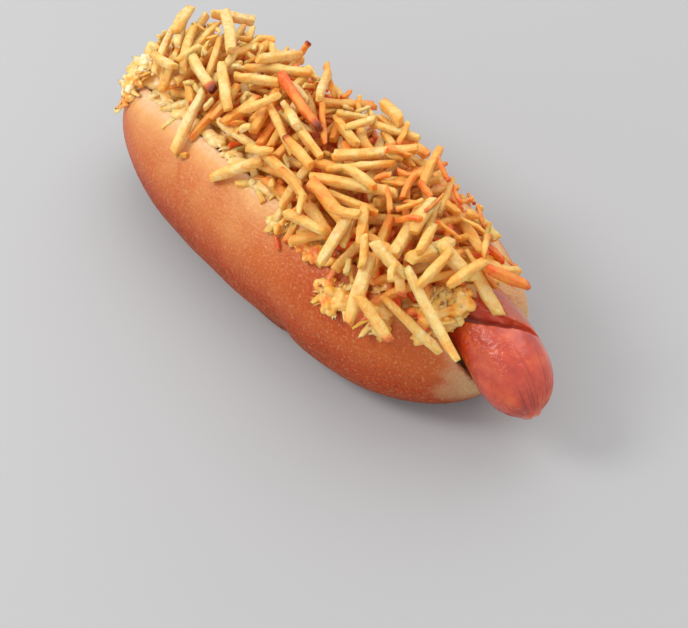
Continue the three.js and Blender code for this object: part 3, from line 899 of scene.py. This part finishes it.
def turned(points, yaw, pitch, middle):
    """Points tilted up along their length by pitch, turned by yaw and put in their place."""
    x, y, z = points.T
    cp, sp, cy, sy = math.cos(pitch), math.sin(pitch), math.cos(yaw), math.sin(yaw)
    x, z = x * cp - z * sp, x * sp + z * cp
    return np.stack([x * cy - y * sy, x * sy + y * cy, z], axis=1) + np.asarray(middle)


def creamy_filling(material):
    band = copy_of_node("filling", "creamy_filling")
    applied(band, "REMESH", mode="VOXEL", voxel_size=FILLING_VOXEL)
    applied(band, "SMOOTH", factor=0.5, iterations=6)
    points, normals = points_of(band), normals_of(band)
    knobbly = lumps(points, 5, 11, 3)
    open_end = step(points[:, 0], 56, 64)
    push = (0.9 + 1.2 * open_end) * np.abs(knobbly) + 0.45 * lumps(points, 2.2, 12, 2) - 0.5
    push += 1.3 * open_end * np.abs(lumps(points, 3, 14, 2))
    set_points(band, points + (push - 0.5 * open_end)[:, None] * normals)
    kind = 0.24 + 0.34 * np.clip(lumps(points, 5, 13, 2), -0.4, 0.9)
    set_marks(band, kind=kind + 0.1 * step(points[:, 0], 0, 20))
    return settled(band, "creamy_filling", ["filling"], material)


# Where the filling shows: middle x and y, spread in x and y, how many lumps and how many shreds
SHOWN_FILLING = [
    (-76, -11, 7, 11, 46, 44),
    (-78, 6, 5, 10, 24, 26),
    (-58, -13.5, 7, 1.5, 20, 3),
    (-44, -13.8, 8, 1.2, 24, 3),
    (-29, -14, 8, 1.2, 24, 3),
    (-14, -14.5, 7, 1.3, 22, 3),
    (0, -16, 7, 1.8, 18, 4),
    (14, -21, 4, 2, 8, 8),
    (29, -20.5, 6.5, 2.6, 22, 22),
    (44, -25, 6, 4, 34, 40),
    (58, -21.5, 4, 3, 16, 20),
    (67, -7, 4, 6, 18, 24),
    (68, -14, 3, 3, 10, 12),
    (71, -4, 3, 6, 26, 6),
]


def ground_at(field, x, y, reach=2.2):
    """The height that a soft lump rests at: it doesn't sink into a crack narrower than itself."""
    around = [(0, 0), (reach, 0), (-reach, 0), (0, reach), (0, -reach)]
    return max(float(field[cell_at(x + dx, y + dy)]) for dx, dy in around)


def places_of(patch, random, number):
    middle_x, middle_y, spread_x, spread_y = patch[:4]
    for _ in range(number):
        x = middle_x + spread_x * (random() + random() - 1)
        yield x, middle_y + spread_y * (random() + random() - 1)


def filling_lumps(material, field):
    """The wet lumps of the filling that stand out at the lips and the ends, grown together."""
    random = seeded(61)
    parts = []
    for patch in SHOWN_FILLING:
        for x, y in places_of(patch, random, patch[4]):
            radius = between(random, 1.1, 2.4)
            ground = ground_at(field, x, y)
            if ground < LOWEST_FILLING:
                continue
            flat = between(random, 0.5, 0.95)
            alone()
            bpy.ops.mesh.primitive_ico_sphere_add(
                subdivisions=2,
                radius=1,
                location=(x, y, ground - 0.1 * radius),
                rotation=(random() * 0.6 - 0.3, random() * 0.6 - 0.3, random() * 3),
                scale=(radius * between(random, 1.0, 1.5), radius * flat, radius * 0.7),
            )
            parts.append(bpy.context.object)
    alone(*parts)
    bpy.ops.object.transform_apply(location=True, rotation=True, scale=True)
    bpy.ops.object.join()
    lump = bpy.context.object
    applied(lump, "REMESH", mode="VOXEL", voxel_size=LUMP_VOXEL)
    points, normals = points_of(lump), normals_of(lump)
    x = points[:, 0]
    smeared = step(x, -68, -60) * (1 - step(x, 0, 12))
    ragged = 1.7 * np.abs(lumps(points, 3.6, 31, 2)) + 0.4 * lumps(points, 1.2, 32)
    set_points(lump, points + ((1 - 0.8 * smeared) * (ragged - 0.2))[:, None] * normals)
    applied(lump, "SMOOTH", factor=0.4, iterations=1)
    kind = 0.4 * np.clip(lumps(points, 4, 33, 2), -0.3, 1) + 0.16 * lumps(points, 1.4, 34)
    kind = 0.16 + (1 - 0.7 * smeared) * kind + 0.2 * step(x, 0, 20)
    set_marks(lump, kind=kind)
    return settled(lump, "filling_lumps", [], material)


def grated_shreds(material, field):
    """Grated shreds that curl out of the lumps, cream, yolk yellow and coral."""
    random = seeded(71)
    template = shred_template()
    base = points_of(template)
    shapes, kinds = [], []
    for patch in SHOWN_FILLING:
        for x, y in places_of(patch, random, patch[5]):
            length = between(random, 3, 8.5)
            thick = between(random, 0.8, 1.4)
            yaw, curl = math.pi * random(), between(random, -3, 3)
            turn = between(random, -1.2, 1.8)
            wide, coral = between(random, 1.2, 2.6), random()
            shred = {"x": x, "y": y, "yaw": yaw, "length": length, "thick": thick}
            ground = ground_at(field, x, y)
            if ground < LOWEST_FILLING:
                continue
            line = rest_line(field, shred, 0.5)
            z = min(line["middle"], ground + 2) + between(random, -0.3, 1.6)
            along = 2 * base[:, 0]
            shape = base * [length, thick * wide, thick * 0.55]
            seed = Vector((x, y, 0))
            rough = np.array([noise.noise(Vector(p) * 2.5 + seed) for p in base])
            shape *= (1 + 0.35 * rough)[:, None]
            shape[:, 1:] *= (1 - 0.4 * along**2)[:, None]
            shape[:, 1] += curl * (along**2 - 0.4) * length / 10
            shape[:, 2] += turn * (along**2 - 0.3) * length / 8
            shapes.append(turned(shape, yaw, math.atan(line["slope"]), (x, y, z)))
            kind = 0.04 + 0.36 * coral if coral < 0.72 else 0.6 * coral
            kinds.append(np.full(len(base), kind + 0.16 * float(step(x, 0, 20))))
    made = copies(template, "grated_shreds", shapes, {"kind": kinds})
    bpy.data.objects.remove(template)
    return settled(made, "grated_shreds", [], material)


# The potato sticks ----------------
def stick_template():
    """A stick 1 mm long, wide and thick before it is scaled: a box with its long edges and its
    ends' edges broken, and rings along it so that it can bend."""
    alone()
    bpy.ops.mesh.primitive_cube_add(size=1)
    stick = bpy.context.object
    edit_chosen(stick, long_edges(stick, 0), "EDGE")
    bpy.ops.mesh.bevel(offset=0.16, offset_type="OFFSET", segments=1, affect="EDGES")
    bpy.ops.object.mode_set(mode="OBJECT")
    edit_chosen(stick, long_edges(stick, 0), "EDGE")
    bpy.ops.mesh.subdivide(number_cuts=5)
    bpy.ops.object.mode_set(mode="OBJECT")
    edit_chosen(stick, [len(p.vertices) > 4 for p in stick.data.polygons])
    bpy.ops.mesh.inset(thickness=0.12, depth=0)
    bpy.ops.object.mode_set(mode="OBJECT")
    points = points_of(stick)
    rim = (np.abs(points[:, 0]) > 0.49) & (np.max(np.abs(points[:, 1:]), axis=1) > 0.45)
    points[rim, 0] -= np.sign(points[rim, 0]) * 0.022
    set_points(stick, points)
    return stick


def stick_look(random, deep):
    """How fried a stick is, from 0 to 1, and how burnt its two ends are."""
    # the deeper a stick lies in the heap, the more orange it is: a painted orange glow of the
    # light that shines through the sticks into the gaps
    fried = -0.02 + 0.3 * random() + deep * 0.34
    if random() < 0.14 + 0.16 * deep:
        fried += 0.2
    burnt = [0.0, 0.0]
    if random() < 0.04:
        burnt[int(random() * 2)] = between(random, 0.3, 0.8)
    return fried, burnt


def stick_shape(base, stick, random):
    """The points of one stick, and how far along it each of them is from -1 to 1. Some narrow to
    one end, but a whole fry is sturdier and blunt."""
    along = 2 * base[:, 0]
    thick = stick["thick"]
    wide, high = thick * between(random, 0.58, 0.86), thick * between(random, 0.56, 0.84)
    back, front = between(random, 0.0, 0.3), between(random, 0.0, 0.3)
    if random() < 0.25:
        front = between(random, 0.45, 0.8)
    if stick.get("whole"):
        wide, high, front = 1.2 * wide, 1.2 * high, min(front, 0.3)
    narrow = 1 - np.where(along < 0, back, front) * np.abs(along) ** 2.4
    shape = base * [stick["length"], wide, high]
    shape[:, 1] *= narrow
    shape[:, 2] *= 1 - (1 - narrow) * between(random, 0.3, 1.2)
    # the ends are cut askew, and the whole stick is slightly twisted, bent and uneven
    shape[:, 0] += np.abs(along) ** 8 * (
        between(random, -0.7, 0.7) * shape[:, 1] + between(random, -0.5, 0.5) * shape[:, 2]
    )
    twist = between(random, -0.28, 0.28) * along
    cos, sin = np.cos(twist), np.sin(twist)
    y, z = shape[:, 1].copy(), shape[:, 2].copy()
    shape[:, 1], shape[:, 2] = y * cos - z * sin, y * sin + z * cos
    shape[:, 1] += stick["bend"] * (1 - along**2)
    shape[:, 2] += between(random, -0.5, 0.5) * (1 - along**2) * stick["length"] / 22
    wobble = Vector((between(random, 0, 90), 0, 0))
    uneven = np.array([noise.noise_vector(Vector(p) * 0.4 + wobble) for p in shape])
    ragged = np.array([noise.noise_vector(Vector(p) * 1.4 + wobble) for p in shape])
    shape += 0.3 * uneven + 0.26 * ragged * (1 + np.abs(along) ** 8)[:, None]
    return shape, along


def potato_sticks(sticks, name, deep, material, random, replaced):
    template = stick_template()
    base = points_of(template)
    shapes, fried_marks, burnt_marks = [], [], []
    across, upward = [2 * base[:, 1]] * len(sticks), [2 * base[:, 2]] * len(sticks)
    for stick in sticks:
        shape, along = stick_shape(base, stick, random)
        fried, burnt = stick_look(random, deep)
        if "fried" in stick:
            fried, burnt = 0.05 + 0.3 * stick["fried"], stick["burnt"]
        tip = np.abs(along) ** 5
        browner = 0.12 * between(random, -1, 1) * along
        patchy = 0.16 * np.array([noise.noise(Vector(p) * 0.35) for p in shape])
        paler = 0.1 * float(step(-stick["x"], 0, 50))
        fried_marks.append(fried - paler + 0.24 * tip * random() + browner + patchy)
        back, front = step(-along, 0.6, 0.95) * burnt[0], step(along, 0.6, 0.95) * burnt[1]
        burnt_marks.append(np.maximum(back, front))
        middle = (stick["x"], stick["y"], stick["z"])
        shapes.append(turned(shape, stick["yaw"], stick["pitch"], middle))
    marks = {"fried": fried_marks, "burnt": burnt_marks, "across": across, "upward": upward}
    made = copies(template, name, shapes, marks)
    bpy.data.objects.remove(template)
    alone(made)
    bpy.ops.object.shade_smooth_by_angle(angle=math.radians(60))
    applied(made, "WEIGHTED_NORMAL", weight=40, keep_sharp=True)
    return settled(made, name, replaced, material, faceted=True)


def heap_core(material):
    """The closed body under the sticks, of the heap's own form, a stick's depth below its skin."""
    alone()
    bpy.ops.mesh.primitive_uv_sphere_add(segments=72, ring_count=96, radius=1)
    core = bpy.context.object
    x, y, z = points_of(core).T
    polar, round_ = np.arccos(np.clip(z, -1, 1)), np.arctan2(y, x)
    share = np.sign(np.cos(polar)) * np.abs(np.cos(polar)) ** (2 / HEAP.end_power)
    taper = np.abs(np.sin(polar)) ** (2 / TAPER_POWER)
    place = (HEAP.front + HEAP.back) / 2 + share * ((HEAP.front - HEAP.back) / 2 - 5)
    near = HEAP.near(place) - 5
    half_width = (near + HEAP.far - 5) / 2 * taper
    half_height = (HEAP.half_height - 3.6) * taper**HEIGHT_TAPER

    def rounded(value):
        return np.sign(value) * np.abs(value) ** (2 / WIDTH_POWER)

    y = (HEAP.far - 5 - near) / 2 + half_width * rounded(np.cos(round_))
    z = HEAP.middle - 1 + half_height * rounded(np.sin(round_))
    set_points(core, np.stack([place, y, z], axis=1))
    applied(core, "REMESH", mode="VOXEL", voxel_size=CORE_VOXEL)
    points, normals = points_of(core), normals_of(core)
    push = 0.9 * lumps(points, 5, 21, 2)
    set_points(core, points + push[:, None] * normals)
    # the core is orange: a painted glow in the gaps between the sticks
    set_marks(core, fried=0.56 + 0.2 * lumps(points, 6, 22), burnt=np.zeros(len(points)))
    return settled(core, "heap_core", ["potato_sticks"], material)


# Small pieces that lie apart from the heap: a chip and burnt flakes on the roll's near shoulder,
# and a burnt tip that stands up at the far side
STICK_WORDS = ("x", "y", "z", "yaw", "pitch", "length", "thick", "bend", "fried", "burnt")
LOOSE_BITS = [
    (-31.7, -24.4, 42.6, 0.9, 0.0, 3.8, 2.0, 0.0, 1.0, (0, 0)),
    (-15.8, -15.6, 45.2, 0.0, 0.1, 4.4, 1.8, 0.0, 2.0, (0.7, 0.7)),
    (-36.2, 29.2, 49.4, 1.4, 0.75, 8, 2.4, 0.3, 1.6, (0.0, 1.0)),
    (17.5, -25.5, 41.8, -0.5, -0.42, 4.5, 1.7, 0.5, 2.4, (0.6, 0.2)),
]


# Assembly ----------------
crust = baked_crust()
casing = sausage_skin()
potato = fried_potato()
salad = creamy_salad()

bread_roll(crust)
sausage_link(casing)
creamy_filling(salad)
heap_core(potato)

bare_field = new_field(heap_drop=20)
filling_lumps(salad, bare_field)
grated_shreds(salad, bare_field)
under_field = new_field(heap_drop=6.5)
under = laid_by_hand(under_field, LIP_STICKS, seeded(106), 1.6, 0.8)
under += filling_up_sticks(under_field, seeded(101), 260, 1.3, (6, 16), (2.2, 3.3))
potato_sticks(under, "sticks_underneath", 1.0, potato, seeded(102), ["potato_sticks"])

stick_random = seeded(23)
stick_field = new_field()
top = shaken_sticks(stick_field, stick_random)
top += laid_by_hand(stick_field, TOLD_APART, stick_random)
top += laid_by_hand(stick_field, TOP_STICKS, seeded(107))
top += thin_orange_shreds(stick_field, seeded(108), 26)
top += filling_up_sticks(stick_field, seeded(104), 70, 5.5, (5, 13), (2.0, 3.0), bite=1.0)
top += filling_up_sticks(stick_field, seeded(105), 260, 5.6, (3, 9), (1.6, 2.7), bite=1.0)
top += filling_up_sticks(stick_field, seeded(109), 260, 5.0, (2.5, 6), (1.4, 2.4), bite=0.9)
top += [dict(zip(STICK_WORDS, row)) for row in LOOSE_BITS]
potato_sticks(top, "sticks_on_top", 0.25, potato, seeded(103), ["potato_sticks"])

# Camera and light ----------------
# The camera's axes, and its place in metres from the roll's middle on the table
CAMERA_RIGHT = Vector((0.64831, 0.75779, -0.07381))
CAMERA_DOWN = Vector((0.56823, -0.54610, -0.61554))
CAMERA_FORWARD = Vector((-0.50676, 0.35712, -0.78464))
CAMERA_PLACE = Vector((0.21328, -0.14149, 0.290))
SENSOR_WIDTH, LENS = 36, 59.76
FLOOR_SIZE, FLOOR_GAP = 6, 0.2 * MM

roll_middle = (roll_low + roll_high) / 2 * MM
roll_middle.z = roll_low.z * MM
camera = bpy.data.objects.new("camera", bpy.data.cameras.new("camera"))
bpy.context.scene.collection.objects.link(camera)
axes = Matrix((CAMERA_RIGHT, -CAMERA_DOWN, -CAMERA_FORWARD)).transposed().to_4x4()
camera.matrix_world = Matrix.Translation(roll_middle + CAMERA_PLACE) @ axes
camera.data.sensor_width, camera.data.lens = SENSOR_WIDTH, LENS
bpy.context.scene.camera = camera

alone()
bpy.ops.mesh.primitive_plane_add(size=FLOOR_SIZE, location=(0, 0, -FLOOR_GAP))
floor = bpy.context.object
floor.name = "floor"
floor_material, floor_shader, _ = new_material("pale_matt_floor")
feed(floor_shader, {"Base Color": "#b4b4b3", "Roughness": 0.9})
floor.data.materials.append(floor_material)


def soft_light(name, place, size, power, aim=(0, 0, 0.02)):
    """A round lamp that looks at the food. Place and size are in metres, and power in watts."""
    lamp = bpy.data.objects.new(name, bpy.data.lights.new(name, "AREA"))
    lamp.data.shape, lamp.data.size, lamp.data.energy = "DISK", size, power
    lamp.location = place
    lamp.rotation_mode = "QUATERNION"
    lamp.rotation_quaternion = (Vector(aim) - Vector(place)).to_track_quat("-Z", "Y")
    bpy.context.scene.collection.objects.link(lamp)


soft_light("window", place=(-0.29, -0.36, 0.60), size=0.26, power=2.1)
soft_light("overhead", place=(-0.1, 0.55, 0.85), size=1.1, power=3.0)
world = bpy.data.worlds.new("studio")
bpy.context.scene.world = world
world.use_nodes = True
feed(world.node_tree.nodes["Background"], {"Color": "#fbfbff", "Strength": 0.9})
bpy.context.scene.view_settings.view_transform = "Standard"
